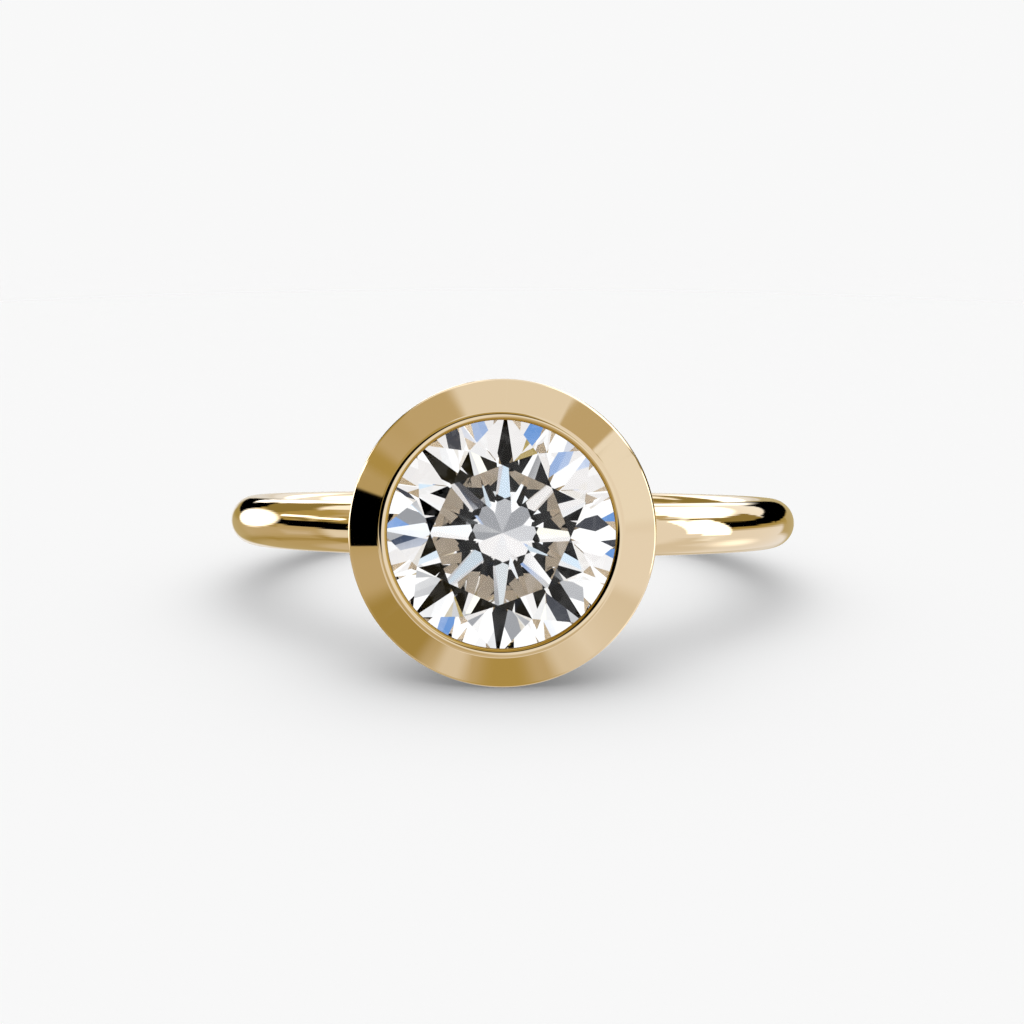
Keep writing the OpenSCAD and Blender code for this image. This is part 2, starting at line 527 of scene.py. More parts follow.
# %% Build the sections
def rounded(before, corner, after, radius, steps):
    """Points of the arc that rounds a corner of a section."""
    to_before = (before - corner).normalized()
    to_after = (after - corner).normalized()
    half = to_before.angle(to_after) / 2
    centre = corner + (to_before + to_after).normalized() * radius / math.sin(half)
    first = corner + to_before * radius / math.tan(half) - centre
    last = corner + to_after * radius / math.tan(half) - centre
    sweep = first.angle_signed(last)
    points = []
    for i in range(steps + 1):
        turn_by = -sweep * i / steps
        c, s = math.cos(turn_by), math.sin(turn_by)
        points.append(centre + Vector((c * first.x - s * first.y, s * first.x + c * first.y)))
    return points


def carried_down(start, end, depth):
    """The line from start to end, carried on until it is a further depth lower."""
    return end + (end - start) * depth / (start.y - end.y)


def with_margins(points):
    """The same outline with a point close to both ends of each long straight run."""
    out = [points[0]]
    for a, b in zip(points, points[1:]):
        run = b - a
        if run.length > 4 * edge_margin:
            out.append(a + run.normalized() * edge_margin)
            out.append(b - run.normalized() * edge_margin)
        out.append(b)
    return out


def section_object(name, points):
    """A mesh of points in the XZ plane, for the lathe to turn."""
    mesh = bpy.data.meshes.new(name)
    mesh.from_pydata([(p.x, 0, p.y) for p in points], [], [])
    obj = bpy.data.objects.new(name, mesh)
    bpy.context.scene.collection.objects.link(obj)
    return obj


outer_section = with_margins(
    [Vector((0, lip.y)), ridge_foot]
    + rounded(ridge_foot, ridge, rim, crest_round, crest_steps)
    + rounded(ridge, rim, foot, rim_round, rim_steps)
    + [carried_down(rim, foot, past_foot), Vector((0, foot_r - past_foot))]
)
seat_section = with_margins(
    [
        Vector((0, lip.y + over_stone)),
        Vector((lip.x, lip.y + over_stone)),
        lip,
        groove_top,
        groove_low,
        bearing,
        carried_down(bearing, back, past_foot),
        Vector((0, foot_r - past_foot)),
    ]
)
print("bezel sections of", len(outer_section), "and", len(seat_section), "points")

# %% Section of the band
band_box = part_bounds("gold_ring")
outer_r = band_box[1].x / MM
wire_r = 0.84
wire_centre_r = outer_r - wire_r
flat_half = math.sqrt(wire_r**2 - (wire_centre_r - finger_r) ** 2)
flat_angle = math.atan2(flat_half, wire_centre_r - finger_r)
wire_steps = 72
wire_angles = [
    flat_angle + (math.tau - 2 * flat_angle) * i / wire_steps for i in range(wire_steps + 1)
]
wire_section = [
    Vector((wire_centre_r - wire_r * math.cos(a), wire_r * math.sin(a))) for a in wire_angles
]
wire_section = with_margins(wire_section + wire_section[:1])
print("band outer radius", round(outer_r, 3), "flat inside", round(2 * flat_half, 3), "mm wide")


# %% [markdown]
# ## The gold ring
# The goldsmith turns the bezel, lays its foot on the wire and solders it, then cuts the seat
# through both. The tree does the same: turn, trim to the finger, unite with the band, and cut
# the seat out.


# %% The gold ring's tree
FINGER_SIDES = 360


def gold_ring_tree():
    """The bezel and the band from their sections, united and cut."""
    tree, given, made = new_group(
        "gold ring",
        "GeometryNodeTree",
        [
            ("Bezel Section", "NodeSocketGeometry", None),
            ("Seat Section", "NodeSocketObject", None),
            ("Wire Section", "NodeSocketObject", None),
            ("Foot Radius", "NodeSocketFloat", 8.45),
            ("Cut Length", "NodeSocketFloat", 20.0),
            ("Head Steps", "NodeSocketInt", 256),
            ("Band Steps", "NodeSocketInt", 384),
            ("Material", "NodeSocketMaterial", None),
            ("Seat Material", "NodeSocketMaterial", None),
        ],
        [("Geometry", "NodeSocketGeometry")],
    )

    def turned(section, steps):
        return use_group(tree, LATHE, {"Section": section, "Steps": steps}).outputs[0]

    def coloured(shape, material):
        return add(tree, "GeometryNodeSetMaterial", {"Geometry": shape, "Material": material}).outputs[0]

    def cut(operation, first, second):
        node = add(tree, "GeometryNodeMeshBoolean", operation=operation, solver="EXACT")
        if operation == "UNION":
            tree.links.new(first, node.inputs["Mesh 2"])
        else:
            tree.links.new(first, node.inputs["Mesh 1"])
        tree.links.new(second, node.inputs["Mesh 2"])
        return node.outputs[0]

    seat = add(tree, "GeometryNodeObjectInfo", {"Object": given["Seat Section"]})
    wire = add(tree, "GeometryNodeObjectInfo", {"Object": given["Wire Section"]})
    along_finger = (math.radians(-90), 0, 0)
    band = add(
        tree,
        "GeometryNodeTransform",
        {"Geometry": turned(wire.outputs["Geometry"], given["Band Steps"]), "Rotation": along_finger},
    ).outputs[0]
    finger = add(
        tree,
        "GeometryNodeMeshCylinder",
        {"Vertices": FINGER_SIDES, "Radius": given["Foot Radius"], "Depth": given["Cut Length"]},
    )
    finger = add(
        tree, "GeometryNodeTransform", {"Geometry": finger.outputs[0], "Rotation": along_finger}
    ).outputs[0]
    bezel = cut("DIFFERENCE", turned(given["Bezel Section"], given["Head Steps"]), finger)
    soldered = coloured(cut("UNION", bezel, band), given["Material"])
    cutter = coloured(turned(seat.outputs["Geometry"], given["Head Steps"]), given["Seat Material"])
    ring = cut("DIFFERENCE", soldered, cutter)
    real = add(tree, "GeometryNodeRealizeInstances", {"Geometry": ring})
    tree.links.new(real.outputs[0], made["Geometry"])
    return tree


# %% Make a plain mesh from a tree
def grown(obj, tree, values, name):
    """Runs a tree on an object and returns the result as a plain mesh object in the part's frame."""
    modifier = obj.modifiers.new("tree", "NODES")
    modifier.node_group = tree
    for item in tree.interface.items_tree:
        if item.in_out == "INPUT" and item.name in values:
            modifier[item.identifier] = values[item.name]
    bpy.context.view_layer.update()
    shape = obj.evaluated_get(bpy.context.evaluated_depsgraph_get())
    mesh = bpy.data.meshes.new_from_object(shape)
    obj.modifiers.remove(modifier)
    mesh.transform(lay_down.to_4x4() @ Matrix.Scale(MM, 4))
    piece = bpy.data.objects.new(name, mesh)
    bpy.context.scene.collection.objects.link(piece)
    return piece


def finish_mesh(piece, sharp_degrees):
    """Faces outwards, smooth between crisp edges; prints what was made."""
    work = bmesh.new()
    work.from_mesh(piece.data)
    bmesh.ops.recalc_face_normals(work, faces=work.faces)
    volume = work.calc_volume(signed=True) / MM**3
    if volume < 0:
        bmesh.ops.reverse_faces(work, faces=work.faces)
    open_edges = sum(not e.is_manifold for e in work.edges)
    work.to_mesh(piece.data)
    work.free()
    piece.data.shade_smooth()
    piece.data.set_sharp_from_angle(angle=math.radians(sharp_degrees))
    print(piece.name, len(piece.data.polygons), "faces,", open_edges, "open edges")
    print(piece.name, "holds", round(abs(volume), 2), "cubic mm")


# %% Make the gold ring
CRISP_DEGREES = 30
bezel_object = section_object("bezel section", outer_section)
seat_object = section_object("seat section", seat_section)
wire_object = section_object("wire section", wire_section)
gold_ring = grown(
    bezel_object,
    gold_ring_tree(),
    {
        "Seat Section": seat_object,
        "Wire Section": wire_object,
        "Foot Radius": foot_r,
        "Head Steps": 256,
        "Band Steps": 384,
        "Material": gold,
        "Seat Material": satin_gold,
    },
    "ring_band_and_bezel",
)
print("finishes:", [m.name for m in gold_ring.data.materials])
finish_mesh(gold_ring, CRISP_DEGREES)
for obj in (bezel_object, seat_object, wire_object):
    bpy.data.objects.remove(obj)
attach(gold_ring, "root")
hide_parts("gold_ring")

# %% [markdown]
# ## The stone
# A brilliant is one sector repeated eight times: half a star on each side of a kite, two upper
# halves, the girdle, two lower halves and a pavilion main. One sector's faces are given one by one,
# and a tree sets it round the axis and merges the seams.

# %% One sector of the stone
stone_turn = math.radians(-1.5)
SECTORS = 8
GIRDLE_STEPS = 4
FACET_SEAM = 0.001
FACET_DEGREES = 0.5
half_sector = math.pi / SECTORS
star_run = (stone_r - star_r) * math.cos(half_sector / 2)
lower_run = (stone_r - lower_r) * math.cos(half_sector / 2)
upper_slope = (star_z - girdle_dist - half_girdle) / star_run
lower_slope = (girdle_dist - half_girdle - lower_z) / lower_run
print("slopes of the halves:", round(upper_slope, 3), "over and", round(lower_slope, 3), "under")


def polar(angle, r, z):
    return Vector((r * math.cos(angle), r * math.sin(angle), z))


def stone_sector():
    """The facets within half a sector on each side of a kite's middle."""
    work = bmesh.new()

    def face(*points):
        work.faces.new([work.verts.new(p) for p in points])

    corner = polar(0, table_r, table_z)
    culet = Vector((0, 0, culet_z))
    over, under = [], []
    for i in range(-GIRDLE_STEPS, GIRDLE_STEPS + 1):
        angle = half_sector * i / GIRDLE_STEPS
        bulge = math.cos(abs(angle) - half_sector / 2) - math.cos(half_sector / 2)
        dip = stone_r * bulge
        over.append(polar(angle, stone_r, girdle_dist + half_girdle - upper_slope * dip))
        under.append(polar(angle, stone_r, girdle_dist - half_girdle + lower_slope * dip))
    stars = [polar(side * half_sector, star_r, star_z) for side in (-1, 1)]
    lowers = [polar(side * half_sector, lower_r, lower_z) for side in (-1, 1)]
    edges = [polar(side * half_sector, table_r * math.cos(half_sector), table_z) for side in (-1, 1)]
    middle = GIRDLE_STEPS
    face(Vector((0, 0, table_z)), edges[0], corner, edges[1])
    face(corner, stars[0], over[middle], stars[1])
    face(culet, lowers[1], under[middle], lowers[0])
    for side, star, lower, edge in zip((-1, 1), stars, lowers, edges):
        run = over[: middle + 1] if side < 0 else over[middle:]
        low_run = under[: middle + 1] if side < 0 else under[middle:]
        face(corner, edge, star)
        face(star, *run)
        face(lower, *low_run)
    for a, b, c, d in zip(over, over[1:], under[1:], under):
        face(a, b, c, d)
    mesh = bpy.data.meshes.new("stone sector")
    work.to_mesh(mesh)
    work.free()
    obj = bpy.data.objects.new("stone sector", mesh)
    bpy.context.scene.collection.objects.link(obj)
    return obj


# %% The stone's tree
def stone_tree():
    """Sets the sector round the axis and merges the seams."""
    tree, given, made = new_group(
        "round stone",
        "GeometryNodeTree",
        [
            ("Sector", "NodeSocketGeometry", None),
            ("Sectors", "NodeSocketInt", SECTORS),
            ("Turn", "NodeSocketFloat", 0.0),
            ("Material", "NodeSocketMaterial", None),
        ],
        [("Geometry", "NodeSocketGeometry")],
    )
    spots = add(tree, "GeometryNodePoints", {"Count": given["Sectors"]})
    index = add(tree, "GeometryNodeInputIndex").outputs[0]
    step = sum_up(tree, "DIVIDE", math.tau, given["Sectors"])
    angle = sum_up(tree, "ADD", sum_up(tree, "MULTIPLY", index, step), given["Turn"])
    rotation = add(tree, "ShaderNodeCombineXYZ", {"Z": angle})
    copies = add(
        tree,
        "GeometryNodeInstanceOnPoints",
        {"Points": spots.outputs[0], "Instance": given["Sector"], "Rotation": rotation.outputs[0]},
    )
    real = add(tree, "GeometryNodeRealizeInstances", {"Geometry": copies.outputs[0]})
    merged = add(tree, "GeometryNodeMergeByDistance", {"Geometry": real.outputs[0], "Distance": FACET_SEAM})
    done = add(
        tree,
        "GeometryNodeSetMaterial",
        {"Geometry": merged.outputs[0], "Material": given["Material"]},
    )
    tree.links.new(done.outputs[0], made["Geometry"])
    return tree


# %% Make the stone
sector_object = stone_sector()
stone = grown(
    sector_object, stone_tree(), {"Turn": stone_turn, "Material": stone_finish}, "round_brilliant"
)
bpy.data.objects.remove(sector_object)
finish_mesh(stone, FACET_DEGREES)
stone.data.shade_flat()
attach(stone, "root")
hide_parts("round_stone")

# %% [markdown]
# ## Floor
# A seamless pale table. It fades out into the background before the horizon, so that no line
# shows. A fifth of its light is a glow in the background's own tone, which lifts the shadow as
# the white walls of a studio do.

# %% Make the floor
BACKGROUND = (0.94, 0.94, 0.94, 1)
FILL = 0.22
FADE_FROM = 0.03
FADE_TO = 0.12
FLOOR_HALF = 0.6
SQUARE = ((-1, -1), (1, -1), (1, 1), (-1, 1))


def pale_floor():
    """Matt, with a glow of its own, and fading out by the distance from the ring, in metres."""
    material = bpy.data.materials.new("pale floor")
    material.use_nodes = True
    tree = material.node_tree
    tree.nodes.remove(tree.nodes["Principled BSDF"])
    place = add(tree, "ShaderNodeTexCoord").outputs["Object"]
    away = add(tree, "ShaderNodeVectorMath", {0: place}, operation="LENGTH").outputs["Value"]
    fade = add(
        tree,
        "ShaderNodeMapRange",
        {"Value": away, "From Min": FADE_FROM, "From Max": FADE_TO, "To Min": 0.0, "To Max": 1.0},
        interpolation_type="SMOOTHSTEP",
    ).outputs[0]
    matt = add(tree, "ShaderNodeBsdfDiffuse", {"Color": BACKGROUND})
    glow = add(tree, "ShaderNodeEmission", {"Color": BACKGROUND, "Strength": 1.0})
    filled = add(tree, "ShaderNodeMixShader", {0: FILL, 1: matt.outputs[0], 2: glow.outputs[0]})
    clear = add(tree, "ShaderNodeBsdfTransparent")
    both = add(tree, "ShaderNodeMixShader", {0: fade, 1: filled.outputs[0], 2: clear.outputs[0]})
    tree.links.new(both.outputs[0], tree.nodes["Material Output"].inputs["Surface"])
    return material


floor_mesh = bpy.data.meshes.new("floor")
corners = [(x * FLOOR_HALF, y * FLOOR_HALF, floor_z) for x, y in SQUARE]
floor_mesh.from_pydata(corners, [], [(0, 1, 2, 3)])
floor = bpy.data.objects.new("floor", floor_mesh)
bpy.context.scene.collection.objects.link(floor)
floor_mesh.materials.append(pale_floor())
floor.visible_glossy = False
floor.visible_transmission = False
floor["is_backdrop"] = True
print("floor at Z", round(floor_z / MM, 3), "mm")

# %% [markdown]
# ## Studio
# Polished metal and a cut stone show nothing but what stands round them. The studio is a sphere
# of directions: white walls, softboxes, and black cards that give the metal its dark lines. Each
# card has a direction, a size in degrees, a tilt, a soft edge and a colour, and a later card
# covers an earlier one. Two more tables say what the stone and the metal see in front of them: a
# brilliant shows its dark star only where it looks into a dark opening, which the polished crest
# beside it mustn't repeat. Matt surfaces see a plain soft sky instead, so the floor's shadow
# stays even, and the camera sees the pale background.


# %% A card in the studio
def studio_card():
    """How much of a card a direction sees, from 0 to 1. All angles are in degrees."""
    tree, given, made = new_group(
        "studio card",
        "ShaderNodeTree",
        [
            ("Azimuth", "NodeSocketFloat", 0.0),
            ("Elevation", "NodeSocketFloat", 0.0),
            ("Card Azimuth", "NodeSocketFloat", 0.0),
            ("Card Elevation", "NodeSocketFloat", 0.0),
            ("Half Width", "NodeSocketFloat", 10.0),
            ("Half Height", "NodeSocketFloat", 10.0),
            ("Tilt", "NodeSocketFloat", 0.0),
            ("Edge", "NodeSocketFloat", 1.0),
            ("Round", "NodeSocketFloat", 0.0),
        ],
        [("Seen", "NodeSocketFloat")],
    )
    dx = sum_up(tree, "SUBTRACT", given["Azimuth"], given["Card Azimuth"])
    dx = sum_up(tree, "WRAP", dx, 180.0, -180.0)
    dy = sum_up(tree, "SUBTRACT", given["Elevation"], given["Card Elevation"])
    tilt = sum_up(tree, "RADIANS", given["Tilt"])
    c = sum_up(tree, "COSINE", tilt)
    s = sum_up(tree, "SINE", tilt)
    u = sum_up(tree, "ADD", sum_up(tree, "MULTIPLY", dx, c), sum_up(tree, "MULTIPLY", dy, s))
    v = sum_up(tree, "SUBTRACT", sum_up(tree, "MULTIPLY", dy, c), sum_up(tree, "MULTIPLY", dx, s))
    u = sum_up(tree, "ABSOLUTE", u)
    v = sum_up(tree, "ABSOLUTE", v)
    past_u = sum_up(tree, "SUBTRACT", u, given["Half Width"])
    past_v = sum_up(tree, "SUBTRACT", v, given["Half Height"])
    square = sum_up(tree, "MAXIMUM", past_u, past_v)
    ratio_u = sum_up(tree, "DIVIDE", u, given["Half Width"])
    ratio_v = sum_up(tree, "DIVIDE", v, given["Half Height"])
    square_u = sum_up(tree, "MULTIPLY", ratio_u, ratio_u)
    square_v = sum_up(tree, "MULTIPLY", ratio_v, ratio_v)
    squares = sum_up(tree, "ADD", square_u, square_v)
    reach = sum_up(tree, "SUBTRACT", sum_up(tree, "SQRT", squares), 1.0)
    smaller = sum_up(tree, "MINIMUM", given["Half Width"], given["Half Height"])
    oval = sum_up(tree, "MULTIPLY", reach, smaller)
    not_round = sum_up(tree, "SUBTRACT", 1.0, given["Round"])
    oval_part = sum_up(tree, "MULTIPLY", oval, given["Round"])
    square_part = sum_up(tree, "MULTIPLY", square, not_round)
    past = sum_up(tree, "ADD", oval_part, square_part)
    negative = sum_up(tree, "MULTIPLY", given["Edge"], -1.0)
    seen = add(
        tree,
        "ShaderNodeMapRange",
        {"Value": past, "From Min": negative, "From Max": given["Edge"], "To Min": 1.0, "To Max": 0.0},
        interpolation_type="SMOOTHSTEP",
    )
    tree.links.new(seen.outputs[0], made["Seen"])
    return tree


CARD = studio_card()
print("a studio card is made of", len(CARD.nodes), "nodes")

# %% The tones of the cards
WHITE = (0.94, 0.94, 0.94)
LAMP = (2.3, 2.3, 2.3)
CREAM = (1.04, 1.05, 1.07)
PEARL = (0.90, 0.88, 0.87)
LINEN = (0.86, 0.83, 0.78)
OAT = (0.77, 0.72, 0.64)
TAN = (0.66, 0.58, 0.44)
HONEY = (0.58, 0.48, 0.29)
OCHRE = (0.53, 0.43, 0.22)
BRONZE = (0.47, 0.36, 0.12)
UMBER = (0.41, 0.31, 0.10)
OLIVE = (0.30, 0.23, 0.07)
BLACK = (0.0, 0.0, 0.0)
ROOM = (1.12, 1.12, 1.12)
SILVER = (0.66, 0.67, 0.69)
GREY = (0.50, 0.51, 0.53)
IRON = (0.35, 0.36, 0.38)
COAL = (0.055, 0.06, 0.075)
BLUE = (0.16, 0.34, 0.72)
SKY = (0.31, 0.45, 0.74)
ICE = (0.60, 0.73, 0.90)
PALE_BLUE = (0.70, 0.86, 1.0)
MIST = (0.72, 0.77, 0.80)
SLATE = (0.60, 0.70, 0.78)
FROST = (1.02, 1.06, 1.1)
IVORY = (1.12, 1.12, 1.0)
SUNLIT = (1.25, 1.25, 1.25)
BRIGHT = (1.45, 1.45, 1.45)
SOOT = (0.12, 0.09, 0.03)

# %% The cards that everything sees
# name: azimuth, elevation, half width, half height, tilt, edge, round, colour
CARDS = {
    "wall on the left": (-112, 20, 52, 48, 0, 3, 0, BRONZE),
    "upper wall on the left": (-92, 56, 34, 12, 0, 4, 0, HONEY),
    "wall panel on the left": (-93, 40, 4, 9, 0, 3, 0, HONEY),
    "foot of the wall on the left": (-92, 18, 10, 5, 0, 3, 0, OCHRE),
    "floor on the left": (-118, -46, 62, 46, 0, 3, 0, OCHRE),
    "middle floor on the left": (-105, -18, 34, 9, 0, 6, 0, HONEY),
    "far floor": (-125, -64, 52, 12, 0, 4, 0, TAN),
    "floor beside the bezel": (-74, -42, 13, 14, 0, 4, 0, UMBER),
    "pale floor beside the band": (-68, -19, 10, 13, 0, 5, 0, LINEN),
    "line at the floor's edge": (-139, -4, 32, 4, 0, 3, 0, UMBER),
    "dark line on the floor": (-140, -31, 18, 2.5, -14, 4, 0, UMBER),
    "nearer part of that line": (-104, -38.5, 24, 3, -8, 4, 0, UMBER),
    "pale floor behind on the left": (-172, -17, 9, 11, 0, 4, 0, CREAM),
    "floor on the right": (125, -46, 68, 48, 0, 5, 0, OAT),
    "pale floor behind on the right": (130, -29, 34, 22, 0, 5, 0, PEARL),
    "pale floor beside the bezel": (76, -12, 22, 14, 0, 4, 0, PEARL),
    "bright patch on the floor": (120, -40, 12, 7, 0, 6, 1, BRIGHT),
    "gold floor far behind": (173, -40, 9, 9, 0, 4, 0, TAN),
    "edge under the ring": (0, -90, 180, 22.5, 0, 3, 0, HONEY),
    "under the ring": (0, -90, 180, 14.5, 0, 3, 0, BRONZE),
    "pale patch low on the left": (-64, -66, 9, 5, 0, 3, 0, OAT),
    "zenith": (0, 90, 180, 27, 0, 1.5, 0, LINEN),
    "high brown wall on the left": (-88, 62, 17, 8, 0, 2, 0, HONEY),
    "window on the left": (-147, 52, 20, 15, 6, 2, 0, SUNLIT),
    "sky on the right": (128, 40, 32, 13, 0, 2, 0, LAMP),
    "high brown wall on the right": (87, 53, 12, 10, 0, 1, 0, HONEY),
    "olive streak near the bezel": (84.5, 39.5, 5, 2.5, -26, 1.5, 0, UMBER),
    "cream wall": (146, 20, 22, 8, 0, 2, 0, CREAM),
    "white card behind": (170, 17, 6, 8, 0, 2, 1, LAMP),
    "olive card": (115, 17.5, 16.5, 8.5, -5, 1.5, 0, OLIVE),
    "olive streak": (101, 30, 9, 2.5, -26, 1.5, 0, OLIVE),
    "gold floor behind": (158, -11, 15, 9, 0, 3, 0, OCHRE),
    "gold line under the black band": (136, -4, 40, 4, 0, 3.5, 0, BRONZE),
    "dark line under the black band": (136, -2, 42, 2.5, 0, 1.5, 0, UMBER),
    "black band on the right": (130, 5, 33, 6, 0, 0.8, 0, BLACK),
    "near end of the black band": (105, 8, 6.5, 6, -22, 0.8, 0, BLACK),
    "far end of the black band": (149, 7, 15, 8, 5, 0.8, 0, BLACK),
    "far corner of the black band": (163, 4.5, 12, 7, -52, 1.5, 0, BLACK),
    "gold floor under that corner": (164, -8, 14, 6, 0, 1, 0, OCHRE),
    "olive wall behind": (-146, 27, 22, 10, 0, 2, 0, OLIVE),
    "olive strip on the left": (-103, 20, 9, 4.5, 0, 1.5, 0, OLIVE),
    "olive strip near the bezel": (-86, 20, 3.5, 4.5, 0, 1.5, 0, OLIVE),
    "black band on the left": (-89, 3.6, 21.5, 6.4, -5, 0.8, 0, BLACK),
    "upper edge of the black band": (-88, 8.5, 20.5, 6.5, 12, 0.8, 0, BLACK),
    "cream card behind": (-166, 15, 9, 12, 0, 2, 1, LAMP),
    "black card behind": (-152, 8.5, 7, 9.5, 0, 1, 0, BLACK),
    "foot of the black card": (-161, 3, 9, 4, 15, 1, 0, BLACK),
    "round lamp": (-128, 2.5, 18.5, 15.5, 0, 2.5, 1, LAMP),
    "white room in front": (0, 2, 52, 62, 0, 2, 0, ROOM),
    "pale ceiling in front": (0, 46, 50, 18, 0, 8, 0, PEARL),
}
print("cards for everything:", len(CARDS))

# %% The cards seen only by light that has gone through the stone
# name: azimuth, elevation, half width, half height, tilt, edge, round, colour
STONE_CARDS = {
    "dark opening in front": (0, 11, 23, 19, -45, 1, 1, BLACK),
    "dark opening, upper part": (3, 31, 8, 8, 0, 1, 1, BLACK),
    "dark card high on the left": (-22, 28, 3.5, 3.5, 0, 1, 1, COAL),
    "pale blue board above": (-1, 42, 6, 3.5, 0, 2, 1, PALE_BLUE),
    "pale grey card below": (-2, -12, 4, 3.5, 0, 1.5, 1, MIST),
    "pale blue card low on the left": (-15, -5, 3.5, 3.5, 0, 1.5, 1, SLATE),
    "white edge": (-20, 10, 7, 4, 0, 1.5, 1, FROST),
    "dark stand": (24, -9, 3.5, 4, 0, 1, 1, COAL),
    "white gap on the right": (20, 6.5, 2.5, 3, 0, 1, 1, ROOM),
    "second dark stand": (25, 3, 3, 3, 0, 1, 1, COAL),
    "grey card below": (-2, -21, 9, 5, 0, 3, 1, GREY),
    "grey card low on the left": (-23, -11, 6, 6, 20, 2, 1, IRON),
    "grey card low on the right": (20, -15, 5, 4, 0, 2, 1, IRON),
    "grey panel on the left": (-33, 6, 5, 6, 0, 2, 1, SILVER),
    "grey panel on the right": (36, 3, 3.5, 4, 0, 1.5, 1, IRON),
    "dark panel on the left": (-50, 12, 5, 6, 0, 1, 1, COAL),
    "dark beam": (-19, 45, 7, 4, 0, 1, 1, COAL),
    "blue window high on the right": (37, 45, 5, 3.5, -15, 3, 1, SKY),
    "blue window high on the left": (-39, 46, 6, 4, 10, 3, 1, BLUE),
    "blue window on the right": (31, 15, 3, 2.5, 0, 2.5, 1, SKY),
    "blue window on the left": (-28, 23, 4, 3, 0, 3, 1, BLUE),
    "blue window low on the left": (-43, 5, 3, 2, 0, 1.5, 1, BLUE),
    "blue window low on the right": (39, -2, 3, 2.5, 0, 1, 1, BLUE),
    "small blue window on the right": (42, 12, 2.5, 2.5, 0, 1, 1, BLUE),
    "pale blue window on the left": (-44, -5, 2, 2, 0, 1.5, 1, ICE),
    "cream lamp": (30, 9, 6, 3.5, 0, 1, 1, IVORY),
}
print("cards for the stone:", len(STONE_CARDS))

# %% The cards seen only by light that hasn't gone through the stone
# name: azimuth, elevation, half width, half height, tilt, edge, round, colour
METAL_CARDS = {
    "room in front": (0, 2, 52, 62, 0, 3, 0, WHITE),
    "room on the right in front": (50, 5, 24, 60, 0, 8, 0, PEARL),
    "floor in front": (0, -38, 45, 20, 0, 6, 0, TAN),
    "brown ceiling in front": (-24, 38, 36, 18, 0, 4, 0, BRONZE),
    "brown floor in front": (-26, -14, 24, 18, 0, 4, 0.5, HONEY),
    "dark stand in front": (-5, 27, 12, 8, 0, 2, 1, SOOT),
    "dark screen in front": (-31, 18, 25, 15, 0, 2, 1, BLACK),
    "near part of that screen": (-46, 15, 16, 12, 0, 2, 1, BLACK),
}
print("cards for the metal:", len(METAL_CARDS))

# %% [markdown]
# Some cards stand so close that the band and the bezel see them in different places: a white wall
# in two steps on the right, a strip lamp, a pale board and the end of the black band on the left,
# and an olive board behind. A direction can't tell the two apart, so these are real cards beside
# the ring, seen by reflections alone. They give no light to the floor and cast no shadow.


# %% A near card
EDGE_ROUNDING = 0.2


def near_card_glow(name, half_w, half_h, soft, tone):
    """An even glow that fades out over the soft edge, by the card's own attribute."""
    material = bpy.data.materials.new(name)
    material.use_nodes = True
    tree = material.node_tree
    tree.nodes.remove(tree.nodes["Principled BSDF"])
    place = add(tree, "ShaderNodeAttribute", attribute_name="from middle").outputs["Vector"]
    part = add(tree, "ShaderNodeSeparateXYZ", {0: place}).outputs
    inside_u = sum_up(tree, "SUBTRACT", half_w, sum_up(tree, "ABSOLUTE", part["X"]))
    inside_v = sum_up(tree, "SUBTRACT", half_h, sum_up(tree, "ABSOLUTE", part["Y"]))
    inside = sum_up(tree, "MINIMUM", inside_u, inside_v)
    lit = sum_up(tree, "SMOOTH_MIN", sum_up(tree, "DIVIDE", inside, soft), 1.0, EDGE_ROUNDING)
    clear = add(tree, "ShaderNodeBsdfTransparent")
    glow = add(tree, "ShaderNodeEmission", {"Color": (*tone, 1), "Strength": 1.0})
    both = add(tree, "ShaderNodeMixShader", {0: lit, 1: clear.outputs[0], 2: glow.outputs[0]})
    tree.links.new(both.outputs[0], tree.nodes["Material Output"].inputs["Surface"])
    material.cycles.emission_sampling = "NONE"
    return material


def near_card(name, x, centre, size, tilt, soft, tone):
    """A card across the X axis, in mm: its middle as (Y, Z), its size, tilt and soft edge."""
    half_w = size[0] / 2
    half_h = size[1] / 2
    c = math.cos(math.radians(tilt))
    s = math.sin(math.radians(tilt))
    from_middle = [(u * half_w, v * half_h) for u, v in SQUARE]
    points = [
        Vector((x, centre[0] + u * c - v * s, centre[1] + u * s + v * c)) * MM for u, v in from_middle
    ]
    mesh = bpy.data.meshes.new(name)
    mesh.from_pydata(points, [], [(0, 1, 2, 3)])
    attribute = mesh.attributes.new("from middle", "FLOAT_VECTOR", "POINT")
    for corner, (u, v) in zip(attribute.data, from_middle):
        corner.vector = (u, v, 0)
    mesh.materials.append(near_card_glow(name, half_w, half_h, soft, tone))
    card = bpy.data.objects.new(name, mesh)
    bpy.context.scene.collection.objects.link(card)
    card.visible_camera = False
    card.visible_diffuse = False
    card.visible_shadow = False
    card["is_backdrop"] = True


# %% The near cards
# name: x, middle as (Y, Z), size, tilt, soft edge, colour
NEAR_CARDS = {
    "white wall beside the band": (30, (-7, 3.5), (8.4, 23), 0, 1.0, LAMP),
    "white wall near the bezel": (15, (-9.45, 3.6), (2.5, 9.4), 0, 0.4, LAMP),
    "foot of the white wall": (30, (-7, -13), (8.4, 12), 0, 4.0, CREAM),
    "strip lamp": (-30, (-1.95, 12.7), (16.4, 3.9), -18, 0.9, LAMP),
    "near end of the strip lamp": (-15, (-9.2, 7.1), (1.8, 1.7), 0, 0.3, LAMP),
    "lower end of the black band": (-15, (-12.4, 1.4), (2.4, 2.0), 0, 0.1, BLACK),
    "olive board behind": (-5, (17.5, 14.7), (10, 8.5), 0, 1.0, OLIVE),
    "pale board": (-30, (-5.0, -8), (11, 8), 0, 3.0, TAN),
}
for name, (x, centre, size, tilt, soft, tone) in NEAR_CARDS.items():
    near_card(name, x, centre, size, tilt, soft, tone)
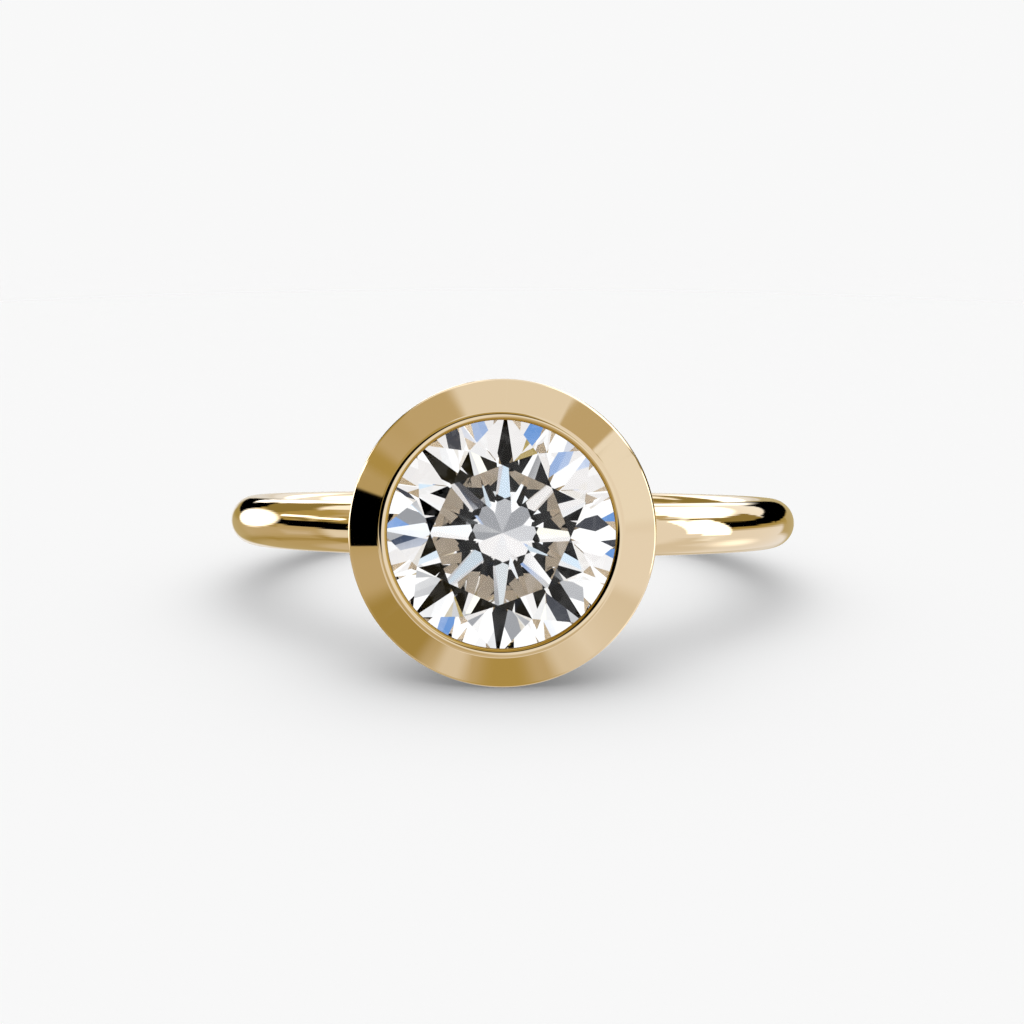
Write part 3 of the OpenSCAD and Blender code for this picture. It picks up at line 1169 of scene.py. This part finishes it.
print("near cards:", len(NEAR_CARDS))

# %% Build the studio
SKY_FALL = 3.0
SKY_OVERHEAD = 2.1
SKY_ALL_ROUND = 0.16


def studio():
    """The world: the cards for metal and stone, a soft sky for matt things, a plain backdrop."""
    world = bpy.data.worlds.new("studio")
    bpy.context.scene.world = world
    world.use_nodes = True
    tree = world.node_tree
    tree.nodes.remove(tree.nodes["Background"])
    direction = add(tree, "ShaderNodeTexCoord").outputs["Generated"]
    parts = add(tree, "ShaderNodeSeparateXYZ", {0: direction}).outputs
    back_y = sum_up(tree, "MULTIPLY", parts["Y"], -1.0)
    azimuth = sum_up(tree, "DEGREES", sum_up(tree, "ARCTAN2", parts["X"], back_y))
    elevation = sum_up(tree, "DEGREES", sum_up(tree, "ARCSINE", parts["Z"]))
    colour = add(tree, "ShaderNodeRGB").outputs[0]
    colour.default_value = (*WHITE, 1)
    path = add(tree, "ShaderNodeLightPath")
    through_stone = path.outputs["Is Transmission Ray"]
    not_through = sum_up(tree, "SUBTRACT", 1.0, through_stone)
    cards = [(name, card, 1.0) for name, card in CARDS.items()]
    cards += [(name, card, through_stone) for name, card in STONE_CARDS.items()]
    cards += [(name, card, not_through) for name, card in METAL_CARDS.items()]
    for name, (az, el, half_w, half_h, tilt, edge, roundness, tone), seen_by in cards:
        card = use_group(
            tree,
            CARD,
            {
                "Azimuth": azimuth,
                "Elevation": elevation,
                "Card Azimuth": az,
                "Card Elevation": el,
                "Half Width": half_w,
                "Half Height": half_h,
                "Tilt": tilt,
                "Edge": edge,
                "Round": roundness,
            },
        )
        card.label = name
        seen = sum_up(tree, "MULTIPLY", card.outputs["Seen"], seen_by)
        mixed = add(
            tree,
            "ShaderNodeMix",
            {"Factor": seen, "A": colour, "B": (*tone, 1)},
            data_type="RGBA",
        )
        colour = mixed.outputs["Result"]
    reflected = add(tree, "ShaderNodeBackground", {"Color": colour})
    up = sum_up(tree, "MAXIMUM", parts["Z"], 0.0)
    overhead = sum_up(tree, "POWER", up, SKY_FALL)
    soft = sum_up(tree, "MULTIPLY_ADD", overhead, SKY_OVERHEAD, SKY_ALL_ROUND)
    sky = add(tree, "ShaderNodeBackground", {"Color": (1, 1, 1, 1), "Strength": soft})
    backdrop = add(tree, "ShaderNodeBackground", {"Color": BACKGROUND})
    matt = add(
        tree,
        "ShaderNodeMixShader",
        {0: path.outputs["Is Diffuse Ray"], 1: reflected.outputs[0], 2: sky.outputs[0]},
    )
    all_rays = add(
        tree,
        "ShaderNodeMixShader",
        {0: path.outputs["Is Camera Ray"], 1: matt.outputs[0], 2: backdrop.outputs[0]},
    )
    output = next(n for n in tree.nodes if n.type == "OUTPUT_WORLD")
    tree.links.new(all_rays.outputs[0], output.inputs["Surface"])
    world.cycles.sampling_method = "NONE"
    print("studio of", len(cards), "far cards")


studio()

# %% [markdown]
# ## Light paths and tone
# Light turns round many times inside a brilliant before it leaves, so the limit on bounces is
# high. Light that would reach the floor by way of the metal is left out, as it only adds noise.

# %% Set the paths and the tone
scene = bpy.context.scene
scene.cycles.max_bounces = 40
scene.cycles.glossy_bounces = 16
scene.cycles.transmission_bounces = 40
scene.cycles.caustics_reflective = False
scene.cycles.caustics_refractive = False
scene.view_settings.view_transform = "Standard"
scene.view_settings.look = "None"
print("bounces inside the stone:", scene.cycles.transmission_bounces)

# %% Compare the ring's box with the part's box
visual_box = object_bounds()
gaps = [abs(a - b) / MM for c, d in zip(part_box, visual_box) for a, b in zip(c, d)]
print("the two boxes differ by at most", round(max(gaps), 4), "mm")
